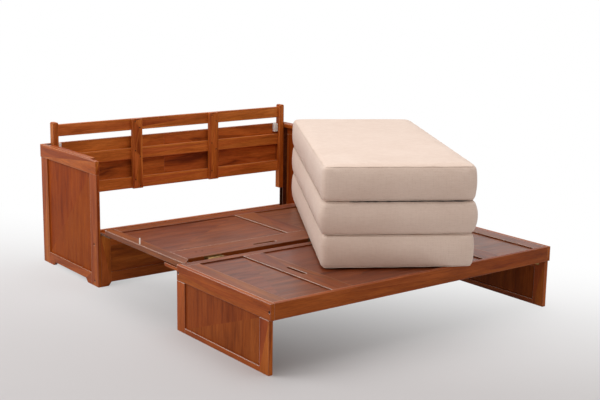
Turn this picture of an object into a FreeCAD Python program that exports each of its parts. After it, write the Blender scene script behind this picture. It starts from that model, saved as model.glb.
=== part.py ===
import FreeCAD, Part
import math
import os

from FreeCAD import Vector

# Cabinet bed, opened out, with its tri-fold mattress folded on the platform.
# Working frame: X to the right, Y to the back, Z up, millimetres.
# X = 0 is the cabinet's centre, Y = 0 its front plane, Z = 0 the floor.
# At the end everything is moved so that the origin is the middle of the base
# of the overall box.

# ---------------------------------------------------------------- clearances
GROOVE_GAP = 0.2          # panel tongue in its groove, on each face
SEAT_GAP = 0.3            # between a moving or soft piece and what it lies on
PIN_GAP = 0.05            # radial, pin in a turning knuckle or disc
SLIDE_GAP = 0.4           # carrier bar in its groove
KNUCKLE_GAP = 0.6         # between neighbouring hinge knuckles

# ------------------------------------------------------------------- cabinet
INNER_HALF = 803.0        # half the clear width between the sides
SIDE_T = 18.0             # side stiles and bottom rail
TOP_PROUD = 3.0           # the side's top rail stands out this far
CAB_D = 650.0             # depth of the sides
CAB_H = 654.0             # height of the sides
SIDE_TOP_RAIL_H = 70.0
SIDE_STILE_W = 74.0
SIDE_BOTTOM_H = 64.0
SIDE_PANEL_T = 9.0
SIDE_PANEL_IN = 2.0       # panel stands back from the inner face
FOOT_H = 20.0             # height of the cut-out between the feet
FOOT_LONG = 120.0         # length of a side foot on the floor
FOOT_SLOPE = 20.0         # sloped end of a foot
TONGUE = 8.0              # how far a panel enters its frame
EDGE_R = 2.0              # rounding of exposed board edges

BASE_H = 270.0            # top of the base front
BASE_T = 20.0
BASE_STILE_W = 56.0
BASE_TOP_RAIL_H = 60.0
BASE_BOTTOM_RAIL_H = 52.0
BASE_FOOT_W = 41.0
BASE_PANEL_T = 9.0
BASE_PANEL_BACK = 7.0     # panel face behind the frame face
POST_W = 40.0             # corner posts behind the base front
POST_BOTTOM = 6.0

BACK_T = 20.0
BACK_BOARD_BOTTOM = 380.0
BACK_JOINT_X = -60.0      # where the two back boards are glued
LOWER_RAIL_Z = 60.0
LOWER_RAIL_H = 70.0
FLOOR_T = 16.0
FLOOR_TOP = 80.0
CLEAT = 20.0              # square floor cleats

TOP_TRACK_W = 30.0
TOP_TRACK_H = 22.0
TOP_TRACK_START = 100.0   # behind the cabinet's front

# ----------------------------------------------------------------- headboard
HB_GAP = 3.0              # behind the headboard's rails
HB_RAIL_T = 20.0
HB_RAIL_H = 65.0
HB_TOP = 758.0            # top of the top rail
HB_PITCH = 168.0          # rail to rail
HB_STILE_TOP = 773.0
HB_STILE_BOTTOM = 250.0
HB_STILE_W = 31.0
HB_SIDE_ROOM = 30.0       # between an end stile and the cabinet's side
HB_MID_SHARE = 1.0 / 3.0  # middle stiles stand this share of the way out
HB_MID_W = 64.0
HB_MID_T = 20.0
HB_STILE_TOP_R = 9.0
HB_DROP = 120.0           # travel from raised to lowered
SCREW_R = 3.6
SCREW_SHANK_R = 2.0
SCREW_L = 28.0
SCREW_DX = 15.0
SCREW_DZ = 19.0
GLIDE_W = 26.0
GLIDE_H = 50.0
GLIDE_Z = 605.0
DISC_R = 12.5
DISC_Z = (364.0, 590.0)
DISC_PIN_R = 4.0
TRACK_BASE = 4.0
TRACK_FLANGE = 4.0
TRACK_GAP = 0.5           # disc in its track, and stile beside the track
TRACK_BOTTOM = 125.0

# ------------------------------------------------------------------ platform
DECK_ROOM = 9.0           # between the base front's top and the deck's underside
DECK_T = 28.0
DECK_TOP = BASE_H + DECK_ROOM + DECK_T
PANEL_T = 12.0
PANEL_DROP = 6.0          # panels lie this far below the deck's top
REAR_SIDE_GAP = 3.0       # between the rear deck and the cabinet's side
REAR_BACK = -41.0         # rear deck, back edge
REAR_RAIL_W = 75.0
REAR_END_W = 52.0
REAR_CENTRE_W = 126.0
REAR_FRONT_EDGE = -741.0  # front face of its front rail
REAR_FRONT_RAIL_W = 151.0
ARM_TIP_W = 23.0          # width of an arm's tip
ARM_SLOPE_L = 44.0        # from the front rail's face to the end of the arm's slope
ARM_SLOPE_END = REAR_FRONT_EDGE - ARM_SLOPE_L
BLOCK_L = 122.0           # arm blocks
BLOCK_PAST = 11.0         # in front of the front rail
BLOCK_FRONT = REAR_FRONT_EDGE - BLOCK_PAST
BLOCK_BACK = BLOCK_FRONT + BLOCK_L
BLOCK_W = 60.0
BLOCK_H = 22.0
PEG_R = 4.0
PEG_H = 30.0
PEG_IN = 8.0              # peg's axis from the deck's edge
PEG_Y = -385.0
REAR_SLOT_SHARE = 0.346   # hand slots, share of the half width
REAR_SLOT_BACK = 48.0     # slots' middle behind the front rail's face
REAR_SLOT_Y = REAR_FRONT_EDGE + REAR_SLOT_BACK
SLOT_L = 136.0
SLOT_W = 20.0

CARRIER_GROOVE_Y = 47.0   # front of the groove in the side's front stile
CARRIER_GROOVE_W = 18.0
CARRIER_GROOVE_D = 7.0
CARRIER_GROOVE_ROOM = 5.0 # below the lowered carrier
CARRIER_L = 160.0
TONGUE_PLATE_T = 4.2
TONGUE_PLATE_W = 16.0
TONGUE_PLATE_FRONT = -95.0
BLOCK_REBATE = 1.5        # room between carrier tongue and arm block
DECK_LIFT = 470.0
DECK_SLIDE = 615.0

FRONT_PROUD = 17.0        # the front deck stands out from the side frames
DECK_GAP = 61.0           # open gap between the two decks
FRONT_D = 726.0
FRONT_BACK = REAR_FRONT_EDGE - DECK_GAP
FRONT_FRONT = FRONT_BACK - FRONT_D
APRON_T = 20.0
APRON_H = 72.0
FRONT_REAR_RAIL_W = 40.0
FRONT_END_W = 74.0
FRONT_MID_SHARE = 0.537   # middle stiles and their hand slots, share of the half width
FRONT_MID_W = 110.0
FRONT_SLOT_IN = 380.0     # slots' middle in front of the front deck's rear edge
FRONT_SLOT_Y = FRONT_BACK - FRONT_SLOT_IN
AXIS_BACK = 36.0          # fold axis behind the front deck, so its folded legs clear the arm blocks
REAR_APRON_BACK = 2.0     # in front of the front deck's rear edge
ARM_SWING_GAP = 0.8       # arm tips clear the turning edge by this

HINGE_SHARE = 0.723       # outer fold hinges, share of the half width
HINGE_ARM_W = 44.0
HINGE_EYE_R = 9.0
HINGE_PIN_R = 3.0
HINGE_STRAP_T = 8.0
HINGE_PLATE_T = 3.0
HINGE_PLATE_W = 96.0
HINGE_KNUCKLE_W = 16.0
HINGE_SPREAD = 70.0       # between the outer knuckles' centres

BOLT_HEAD_R = 6.0
BOLT_HEAD_T = 4.0
BOLT_SINK = 1.5           # head below the wood's face
BOLT_SHANK_R = 3.0
BOLT_HOLE_GAP = 0.3
BOLT_L = 42.0
SIDE_BOLT_Z = (27.0, 221.0)

# ---------------------------------------------------------------------- legs
LEG_T = 20.0
LEG_REAR_IN = 1.0         # leg frame stands in from the aprons' rear end
LEG_FRONT_IN = 11.0       # and from their front end
LEG_STILE_W = 66.0
LEG_BOTTOM_RAIL_H = 24.0
LEG_TOP_RAIL_H = 44.0
LEG_PANEL_T = 8.0
LEG_PANEL_BACK = 6.0
LEG_CORNER_R = 18.0
LEG_GAP = 0.5             # between leg and apron
LEG_HINGE_REAR_IN = 88.0  # outer hinges' middles from the deck's ends
LEG_HINGE_FRONT_IN = 78.0
LEAF_L = 60.0
LEAF_T = 2.0
LEAF_H = 26.0
LEG_KNUCKLE_R = 4.0
LEG_PIN_R = 1.8

# ------------------------------------------------------------------ mattress
MAT_W = 677.0
MAT_L = 1524.0
MAT_H = 152.3             # one of the three sections
MAT_X = -334.0            # near left bottom corner
MAT_Y = -1216.0
MAT_TURN = -31.2          # degrees about Z
MAT_CORNER_R = 34.0
MAT_PULL = 5.0            # the sides draw in between the corners
MAT_CROWN = 9.0           # the faces rise from edge to middle
MAT_EDGE = 16.0           # rounding at the seams

# ------------------------------------------------------------ derived values
SIDE_OUTER = INNER_HALF + SIDE_T
REAR_HALF = INNER_HALF - REAR_SIDE_GAP
FRONT_HALF = SIDE_OUTER + FRONT_PROUD
HB_OUTER = INNER_HALF - HB_SIDE_ROOM
HB_MID_X = HB_OUTER * HB_MID_SHARE
REAR_SLOT_X = REAR_HALF * REAR_SLOT_SHARE
FRONT_MID_X = FRONT_HALF * FRONT_MID_SHARE
HINGE_X = (-FRONT_HALF * HINGE_SHARE, 0.0, FRONT_HALF * HINGE_SHARE)
DECK_UNDER = DECK_TOP - DECK_T
CARRIER_GROOVE_BOTTOM = DECK_UNDER - CARRIER_L - CARRIER_GROOVE_ROOM
APRON_BOTTOM = DECK_TOP - APRON_H
FOLD_Y = FRONT_BACK + AXIS_BACK
FOLD_Z = DECK_TOP - DECK_T / 2
ARM_END = FOLD_Y - math.sqrt(AXIS_BACK ** 2 - (DECK_T / 2) ** 2) + ARM_SWING_GAP
BACK_FACE = CAB_D - BACK_T
HB_RAIL_BACK = BACK_FACE - HB_GAP
HB_RAIL_FRONT = HB_RAIL_BACK - HB_RAIL_T
HB_FRONT = HB_RAIL_FRONT - HB_MID_T
HB_INNER = HB_OUTER - HB_STILE_W
DISC_Y = (HB_FRONT + HB_RAIL_BACK) / 2
FRONT_INNER = FRONT_HALF - APRON_T
LEG_HINGE_REAR_Y = FRONT_BACK - LEG_HINGE_REAR_IN
LEG_HINGE_FRONT_Y = FRONT_FRONT + LEG_HINGE_FRONT_IN
LEG_HINGE_Y = (LEG_HINGE_REAR_Y, (LEG_HINGE_REAR_Y + LEG_HINGE_FRONT_Y) / 2, LEG_HINGE_FRONT_Y)
LEG_AXIS_X = FRONT_INNER - LEG_KNUCKLE_R
SIDES = (("left", -1.0), ("right", 1.0))


# ------------------------------------------------------------------- helpers
def box(x0, x1, y0, y1, z0, z1):
    """A block between two corners, whichever way round they are given."""
    low = Vector(min(x0, x1), min(y0, y1), min(z0, z1))
    return Part.makeBox(abs(x1 - x0), abs(y1 - y0), abs(z1 - z0), low)


def rod(radius, start, end):
    """A round bar from one point to another."""
    run = end - start
    return Part.makeCylinder(radius, run.Length, start, run)


def prism_z(points, z0, z1):
    """An upright prism over an outline in plan."""
    outline = [Vector(x, y, z0) for x, y in points]
    outline.append(outline[0])
    return Part.Face(Part.makePolygon(outline)).extrude(Vector(0, 0, z1 - z0))


def prism_y(points, y0, y1):
    """A prism along Y over an outline of (x, z) points."""
    outline = [Vector(x, y0, z) for x, z in points]
    outline.append(outline[0])
    return Part.Face(Part.makePolygon(outline)).extrude(Vector(0, y1 - y0, 0))


def prism_x(points, x0, x1):
    """A prism along X over an outline of (y, z) points."""
    outline = [Vector(x0, y, z) for y, z in points]
    outline.append(outline[0])
    return Part.Face(Part.makePolygon(outline)).extrude(Vector(x1 - x0, 0, 0))


def grown(shape, gap):
    """The block around a shape's own box, larger by gap all round."""
    b = shape.BoundBox
    return box(b.XMin - gap, b.XMax + gap, b.YMin - gap, b.YMax + gap,
               b.ZMin - gap, b.ZMax + gap)


def grooved(piece, panels, gap=GROOVE_GAP):
    """A frame piece with the grooves that its panels slide into."""
    for panel in panels:
        piece = piece.cut(grown(panel, gap))
    return piece


def rounded(shape, chosen, radius=EDGE_R):
    """Round the straight edges whose middle passes the test chosen(x, y, z)."""
    edges = []
    for edge in shape.Edges:
        middle = edge.CenterOfMass
        if edge.Length > 4 * radius and chosen(middle.x, middle.y, middle.z):
            edges.append(edge)
    return shape.makeFillet(radius, edges) if edges else shape


def near(a, b):
    """True where two coordinates agree."""
    return abs(a - b) < 0.01


def rounded_long(shape, axis, radius=EDGE_R):
    """Round the four long edges of a bar that runs along axis 0, 1 or 2."""
    edges = []
    for edge in shape.Edges:
        ends = [v.Point for v in edge.Vertexes]
        if len(ends) == 2:
            run = ends[1] - ends[0]
            if near(abs(run[axis]), run.Length):
                edges.append(edge)
    return shape.makeFillet(radius, edges)


def slot_cut(x, y, length_x, length_y, z0, z1):
    """A hand slot with round ends, as a cutter."""
    radius = min(length_x, length_y) / 2
    dx = length_x / 2 - radius
    dy = length_y / 2 - radius
    tool = box(x - max(dx, radius if dx == 0 else dx), x + max(dx, radius if dx == 0 else dx),
               y - max(dy, radius if dy == 0 else dy), y + max(dy, radius if dy == 0 else dy), z0, z1)
    for sign in (-1, 1):
        centre = Vector(x + sign * dx, y + sign * dy, z0)
        tool = tool.fuse(Part.makeCylinder(radius, z1 - z0, centre))
    return tool.removeSplitter()


def bolt(face_x, y, z, side):
    """A bolt with a sunk head, driven inwards along X, and its hole's cutter."""
    head_out = face_x - side * BOLT_SINK
    head_in = head_out - side * BOLT_HEAD_T
    tip = head_out - side * BOLT_L
    solid = rod(BOLT_HEAD_R, Vector(head_out, y, z), Vector(head_in, y, z))
    solid = solid.fuse(rod(BOLT_SHANK_R, Vector(head_in, y, z), Vector(tip, y, z)))
    hole = rod(BOLT_HEAD_R + BOLT_HOLE_GAP, Vector(face_x + side, y, z), Vector(head_in, y, z))
    hole = hole.fuse(rod(BOLT_SHANK_R, Vector(head_in, y, z), Vector(tip, y, z)))
    return solid.removeSplitter(), hole


NODES = {}


def add(name, *solids):
    """Keep one named piece, or one group of like pieces."""
    NODES[name] = list(solids)


# ------------------------------------------------------------- cabinet sides
def make_side(name, side):
    """One framed side: top rail, two stiles, bottom rail, panel, top track, bolts."""
    inner = side * INNER_HALF
    outer = side * SIDE_OUTER
    rail_bottom = CAB_H - SIDE_TOP_RAIL_H
    back = CAB_D - TOP_PROUD
    panel_in = side * (INNER_HALF + SIDE_PANEL_IN)
    panel = box(panel_in, panel_in + side * SIDE_PANEL_T,
                SIDE_STILE_W - TONGUE, back - SIDE_STILE_W + TONGUE,
                SIDE_BOTTOM_H - TONGUE, rail_bottom + TONGUE)
    top_rail = box(inner, outer + side * TOP_PROUD, 0, CAB_D, rail_bottom, CAB_H)
    front = box(inner, outer, 0, SIDE_STILE_W, 0, rail_bottom)
    rear = box(inner, outer, back - SIDE_STILE_W, back, 0, rail_bottom)
    bottom = box(inner, outer, SIDE_STILE_W, back - SIDE_STILE_W, 0, SIDE_BOTTOM_H)
    cut = prism_x([(FOOT_LONG, -1), (FOOT_LONG, 0), (FOOT_LONG + FOOT_SLOPE, FOOT_H),
                   (back - FOOT_LONG - FOOT_SLOPE, FOOT_H), (back - FOOT_LONG, 0),
                   (back - FOOT_LONG, -1)],
                  inner - side, outer + side)
    bottom = bottom.cut(cut)
    groove = box(inner - side, inner + side * CARRIER_GROOVE_D, CARRIER_GROOVE_Y,
                 CARRIER_GROOVE_Y + CARRIER_GROOVE_W, CARRIER_GROOVE_BOTTOM, CAB_H + 1)
    top_rail = rounded(top_rail, lambda x, y, z: near(z, CAB_H) or near(abs(x), SIDE_OUTER + TOP_PROUD))
    top_rail = grooved(top_rail, [panel]).cut(groove)
    front = rounded(front, lambda x, y, z: near(y, 0) and z > 1)
    front = grooved(front, [panel]).cut(groove)
    rear = grooved(rear, [panel])
    bottom = grooved(bottom, [panel])
    bolts = []
    for z in SIDE_BOLT_Z:
        solid, hole = bolt(outer, BASE_T + POST_W / 2, z, side)
        front = front.cut(hole)
        bolts.append((solid, hole))
    add("side_top_rail_" + name, top_rail)
    add("side_frame_" + name, front, rear, bottom)
    add("side_panel_" + name, panel)
    return bolts


def make_top_track(name, side):
    """The wooden runner inside the side's top edge, with a round front end."""
    inner = side * INNER_HALF
    end = HB_FRONT - 2 * TRACK_GAP
    low = CAB_H - TOP_TRACK_H
    track = box(inner, inner - side * TOP_TRACK_W, TOP_TRACK_START, end, low, CAB_H)
    edge_x = inner - side * TOP_TRACK_W
    track = rounded(track, lambda x, y, z: near(y, TOP_TRACK_START) and near(x, edge_x), TOP_TRACK_W / 2)
    track = rounded(track, lambda x, y, z: near(z, CAB_H) and near(x, edge_x))
    add("top_track_" + name, track)


# --------------------------------------------------------------- base front
def make_base(bolts):
    """The framed base front between the sides, and the posts bolted behind it."""
    half = INNER_HALF
    stile_in = half - BASE_STILE_W
    panel = box(-stile_in - TONGUE, stile_in + TONGUE, BASE_PANEL_BACK, BASE_PANEL_BACK + BASE_PANEL_T,
                FOOT_H + BASE_BOTTOM_RAIL_H - TONGUE, BASE_H - BASE_TOP_RAIL_H + TONGUE)
    frame = []
    for side in (-1, 1):
        stile = prism_y([(side * half, 0), (side * (half - BASE_FOOT_W), 0),
                         (side * stile_in, FOOT_H), (side * stile_in, BASE_H),
                         (side * half, BASE_H)], 0, BASE_T)
        frame.append(grooved(stile, [panel]))
    top = box(-stile_in, stile_in, 0, BASE_T, BASE_H - BASE_TOP_RAIL_H, BASE_H)
    top = rounded(top, lambda x, y, z: near(y, 0) and near(z, BASE_H))
    low = box(-stile_in, stile_in, 0, BASE_T, FOOT_H, FOOT_H + BASE_BOTTOM_RAIL_H)
    frame.append(grooved(top, [panel]))
    frame.append(grooved(low, [panel]))
    posts = []
    for side, pairs in bolts:
        post = box(side * half, side * (half - POST_W), BASE_T, BASE_T + POST_W, POST_BOTTOM, BASE_H)
        for solid, hole in pairs:
            post = post.cut(hole)
        posts.append(post)
    add("base_front_frame", *frame)
    add("base_front_panel", panel)
    add("base_corner_posts", *posts)
    add("base_bolts", *[solid for side, pairs in bolts for solid, hole in pairs])
    return posts


# --------------------------------------------------------- cabinet back, floor
def make_back_and_floor(posts):
    """Fixed upper back boards, lower back rail, floor panel and its cleats."""
    half = INNER_HALF
    left = box(-half, BACK_JOINT_X, BACK_FACE, CAB_D, BACK_BOARD_BOTTOM, CAB_H)
    right = box(BACK_JOINT_X, half, BACK_FACE, CAB_D, BACK_BOARD_BOTTOM, CAB_H)
    add("back_boards", left, right)
    add("back_lower_rail", box(-half, half, BACK_FACE, CAB_D, LOWER_RAIL_Z, LOWER_RAIL_Z + LOWER_RAIL_H))
    floor = box(-half, half, BASE_T, BACK_FACE, FLOOR_TOP - FLOOR_T, FLOOR_TOP)
    for post in posts:
        floor = floor.cut(grown(post, SEAT_GAP))
    add("floor_panel", floor)
    top = FLOOR_TOP - FLOOR_T
    post_back = BASE_T + POST_W + SEAT_GAP
    cleats = []
    for side in (-1, 1):
        cleats.append(box(side * half, side * (half - CLEAT), post_back, BACK_FACE, top - CLEAT, top))
    inner = half - POST_W - SEAT_GAP
    cleats.append(box(-inner, inner, BASE_T, BASE_T + CLEAT, top - CLEAT, top))
    add("floor_cleats", *cleats)


# ----------------------------------------------------------------- headboard
def make_headboard_track(name, side):
    """The channel in which an end stile's guide discs run."""
    wall = side * INNER_HALF
    reach = HB_OUTER + TRACK_GAP
    half_slot = DISC_R + TRACK_GAP
    web = box(wall, wall - side * TRACK_BASE, DISC_Y - half_slot - TRACK_FLANGE,
              DISC_Y + half_slot + TRACK_FLANGE, TRACK_BOTTOM, CAB_H)
    track = web
    for sign in (-1, 1):
        near_y = DISC_Y + sign * half_slot
        track = track.fuse(box(wall, side * reach, near_y, near_y + sign * TRACK_FLANGE, TRACK_BOTTOM, CAB_H))
    add("headboard_track_" + name, track.removeSplitter())


def make_headboard():
    """Three rails between two end stiles, with two middle stiles in front."""
    tops = [HB_TOP - i * HB_PITCH for i in range(3)]
    for name, top in zip(("top", "middle", "bottom"), tops):
        rail = box(-HB_INNER, HB_INNER, HB_RAIL_FRONT, HB_RAIL_BACK, top - HB_RAIL_H, top)
        add("headboard_" + name + "_rail", rounded_long(rail, 0))
    rail_bottom = tops[-1] - HB_RAIL_H
    screws = []
    rails = [NODES["headboard_" + n + "_rail"] for n in ("top", "middle", "bottom")]
    for name, side in SIDES:
        centre = side * HB_MID_X
        stile = box(centre - HB_MID_W / 2, centre + HB_MID_W / 2, HB_FRONT, HB_RAIL_FRONT, rail_bottom, HB_TOP)
        stile = rounded_long(stile, 2)
        for rail, top in zip(rails, tops):
            for sign in (-1, 1):
                x = centre + sign * SCREW_DX
                z = top - HB_RAIL_H / 2 - sign * SCREW_DZ
                start = Vector(x, HB_FRONT, z)
                neck = start + Vector(0, SCREW_R - SCREW_SHANK_R, 0)
                head = Part.makeCone(SCREW_R, SCREW_SHANK_R, SCREW_R - SCREW_SHANK_R, start, Vector(0, 1, 0))
                screw = head.fuse(rod(SCREW_SHANK_R, neck, start + Vector(0, SCREW_L, 0))).removeSplitter()
                stile = stile.cut(screw)
                rail[0] = rail[0].cut(screw)
                screws.append(screw)
        add("headboard_middle_stile_" + name, stile)
    add("headboard_screws", *screws)
    discs = []
    pins = []
    glides = []
    for name, side in SIDES:
        outer = side * HB_OUTER
        stile = box(outer, side * HB_INNER, HB_FRONT, HB_RAIL_BACK, HB_STILE_BOTTOM, HB_STILE_TOP)
        stile = rounded(stile, lambda x, y, z: near(z, HB_STILE_TOP), HB_STILE_TOP_R)
        stile = rounded(stile, lambda x, y, z: near(z, (HB_STILE_BOTTOM + HB_STILE_TOP - HB_STILE_TOP_R) / 2))
        for z in DISC_Z:
            pin_in = outer - side * HB_STILE_W / 2
            pin_out = side * (INNER_HALF - TRACK_BASE - TRACK_GAP)
            pin = rod(DISC_PIN_R, Vector(pin_in, DISC_Y, z), Vector(pin_out, DISC_Y, z))
            disc = rod(DISC_R, Vector(outer + side * TRACK_GAP, DISC_Y, z), Vector(pin_out, DISC_Y, z))
            disc = disc.cut(rod(DISC_PIN_R + PIN_GAP, Vector(outer, DISC_Y, z),
                                  Vector(pin_out + side, DISC_Y, z)))
            stile = stile.cut(pin)
            pins.append(pin)
            discs.append(disc)
        add("headboard_end_stile_" + name, stile)
        inner = side * HB_INNER
        glide = box(inner, inner - side * GLIDE_W, HB_RAIL_FRONT, BACK_FACE - SEAT_GAP, GLIDE_Z, GLIDE_Z + GLIDE_H)
        glide = rounded(glide, lambda x, y, z: near(x, inner - side * GLIDE_W), 3 * EDGE_R)
        glides.append(glide)
    add("headboard_guide_discs", *discs)
    add("headboard_guide_pins", *pins)
    add("headboard_glides", *glides)


# ------------------------------------------------------------------ carriers
def make_carrier(name, side):
    """Steel bar in the side's groove, with the tongue that carries the rear deck."""
    wall = INNER_HALF + CARRIER_GROOVE_D - SLIDE_GAP
    face = INNER_HALF + SEAT_GAP
    top = DECK_UNDER - SEAT_GAP
    y0 = CARRIER_GROOVE_Y + SLIDE_GAP
    y1 = CARRIER_GROOVE_Y + CARRIER_GROOVE_W - SLIDE_GAP
    bar = box(side * wall, side * face, y0, y1, top - CARRIER_L, top)
    edge = INNER_HALF - SEAT_GAP
    low = top - TONGUE_PLATE_T
    tongue = box(side * edge, side * (REAR_HALF - TONGUE_PLATE_W), TONGUE_PLATE_FRONT, y1, low, top)
    link = box(side * face, side * edge, y0, y1, low, top)
    add("deck_carrier_" + name, bar.fuse([tongue, link]).removeSplitter())


# ----------------------------------------------------------------- rear deck
def make_rear_deck():
    """Frame and two panels, with an arm at each end that reaches the front deck."""
    low = DECK_UNDER
    inner = REAR_HALF - REAR_END_W
    rail_front = REAR_BACK - REAR_RAIL_W
    rail_back = REAR_FRONT_EDGE + REAR_FRONT_RAIL_W
    panel_top = DECK_TOP - PANEL_DROP
    panels = []
    for side in (-1, 1):
        panels.append(box(side * (REAR_CENTRE_W / 2 - TONGUE), side * (inner + TONGUE),
                          rail_front + TONGUE, rail_back - TONGUE, panel_top - PANEL_T, panel_top))
    rear = box(-inner, inner, REAR_BACK, rail_front, low, DECK_TOP)
    rear = rounded(rear, lambda x, y, z: near(y, REAR_BACK) and near(z, DECK_TOP))
    add("rear_deck_rear_rail", grooved(rear, panels))
    front = box(-inner, inner, rail_back, REAR_FRONT_EDGE, low, DECK_TOP)
    front = rounded(front, lambda x, y, z: near(y, REAR_FRONT_EDGE) and near(z, DECK_TOP))
    for side in (-1, 1):
        front = front.cut(slot_cut(side * REAR_SLOT_X, REAR_SLOT_Y, SLOT_L, SLOT_W, low - 1, DECK_TOP + 1))
    add("rear_deck_front_rail", grooved(front, panels))
    half = REAR_CENTRE_W / 2
    add("rear_deck_centre_stile", grooved(box(-half, half, rail_back, rail_front, low, DECK_TOP), panels))
    add("rear_deck_panels", *panels)
    blocks = []
    for name, side in SIDES:
        edge = side * REAR_HALF
        tip = side * (REAR_HALF - ARM_TIP_W)
        slope_start = ARM_SLOPE_END + REAR_END_W - ARM_TIP_W
        arm = prism_z([(edge, REAR_BACK), (side * inner, REAR_BACK), (side * inner, slope_start),
                       (tip, ARM_SLOPE_END), (tip, ARM_END), (edge, ARM_END)], low, DECK_TOP)
        arm = rounded(arm, lambda x, y, z: near(x, edge) and (near(z, DECK_TOP) or near(z, low)))
        add("rear_deck_end_stile_" + name, grooved(arm, panels))
        block = box(edge, side * (REAR_HALF - BLOCK_W), BLOCK_BACK, BLOCK_FRONT, low - BLOCK_H, low)
        rebate_z = low - SEAT_GAP - TONGUE_PLATE_T - BLOCK_REBATE
        rebate = box(edge + side, edge - side * (TONGUE_PLATE_W + BLOCK_REBATE), BLOCK_BACK + 1,
                     BLOCK_FRONT - 1, rebate_z, low + 1)
        blocks.append(block.cut(rebate))
    add("rear_deck_arm_blocks", *blocks)
    foot = Vector(PEG_IN - REAR_HALF, PEG_Y, DECK_TOP)
    peg = rod(PEG_R, foot, foot + Vector(0, 0, PEG_H))
    add("rear_deck_peg", rounded_cap(peg, DECK_TOP + PEG_H, PEG_R / 2))


def rounded_cap(shape, z, radius):
    """Round the edges that lie at height z."""
    edges = [e for e in shape.Edges if near(e.CenterOfMass.z, z)]
    return shape.makeFillet(radius, edges)


def hinge_eye(x0, x1, outer_r, inner_r):
    """A hinge eye about the fold axis."""
    eye = rod(outer_r, Vector(x0, FOLD_Y, FOLD_Z), Vector(x1, FOLD_Y, FOLD_Z))
    return eye.cut(rod(inner_r, Vector(x0 - 1, FOLD_Y, FOLD_Z), Vector(x1 + 1, FOLD_Y, FOLD_Z)))


def make_hinges():
    """Hinges of the fold: arms on the rear deck, knuckles and pins on the front deck."""
    arms = []
    fixed = []
    for x in HINGE_X:
        half = HINGE_ARM_W / 2
        bar_top = DECK_UNDER + HINGE_PLATE_T + HINGE_STRAP_T
        strap = box(x - half, x + half, FOLD_Y, REAR_FRONT_EDGE, bar_top - HINGE_STRAP_T, bar_top)
        strap = strap.cut(rod(HINGE_PIN_R + PIN_GAP, Vector(x - half - 1, FOLD_Y, FOLD_Z),
                              Vector(x + half + 1, FOLD_Y, FOLD_Z)))
        plate = box(x - HINGE_PLATE_W / 2, x + HINGE_PLATE_W / 2, REAR_FRONT_EDGE,
                    REAR_FRONT_EDGE - HINGE_PLATE_T, DECK_UNDER, DECK_TOP - HINGE_PLATE_T)
        arm = strap.fuse([plate, hinge_eye(x - half, x + half, HINGE_EYE_R, HINGE_PIN_R + PIN_GAP)])
        arms.append(arm.removeSplitter())
        end = HINGE_SPREAD / 2 + HINGE_KNUCKLE_W / 2
        knuckles = []
        for sign in (-1, 1):
            inner = x + sign * (half + KNUCKLE_GAP)
            outer = x + sign * end
            knuckle = hinge_eye(min(inner, outer), max(inner, outer), HINGE_EYE_R, HINGE_PIN_R)
            foot = box(inner, outer, FRONT_BACK, FOLD_Y, FOLD_Z - HINGE_STRAP_T / 2, FOLD_Z + HINGE_STRAP_T / 2)
            foot = foot.cut(rod(HINGE_EYE_R - 1, Vector(x - end - 1, FOLD_Y, FOLD_Z),
                                Vector(x + end + 1, FOLD_Y, FOLD_Z)))
            knuckles.extend([knuckle, foot])
        back_plate = box(x - HINGE_PLATE_W / 2, x + HINGE_PLATE_W / 2, FRONT_BACK, FRONT_BACK + HINGE_PLATE_T,
                         DECK_UNDER, DECK_TOP - HINGE_PLATE_T)
        fixed.append(back_plate.fuse(knuckles).removeSplitter())
        fixed.append(rod(HINGE_PIN_R, Vector(x - end, FOLD_Y, FOLD_Z), Vector(x + end, FOLD_Y, FOLD_Z)))
    add("fold_hinge_arms", *arms)
    add("fold_hinge_knuckles", *fixed)


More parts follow.
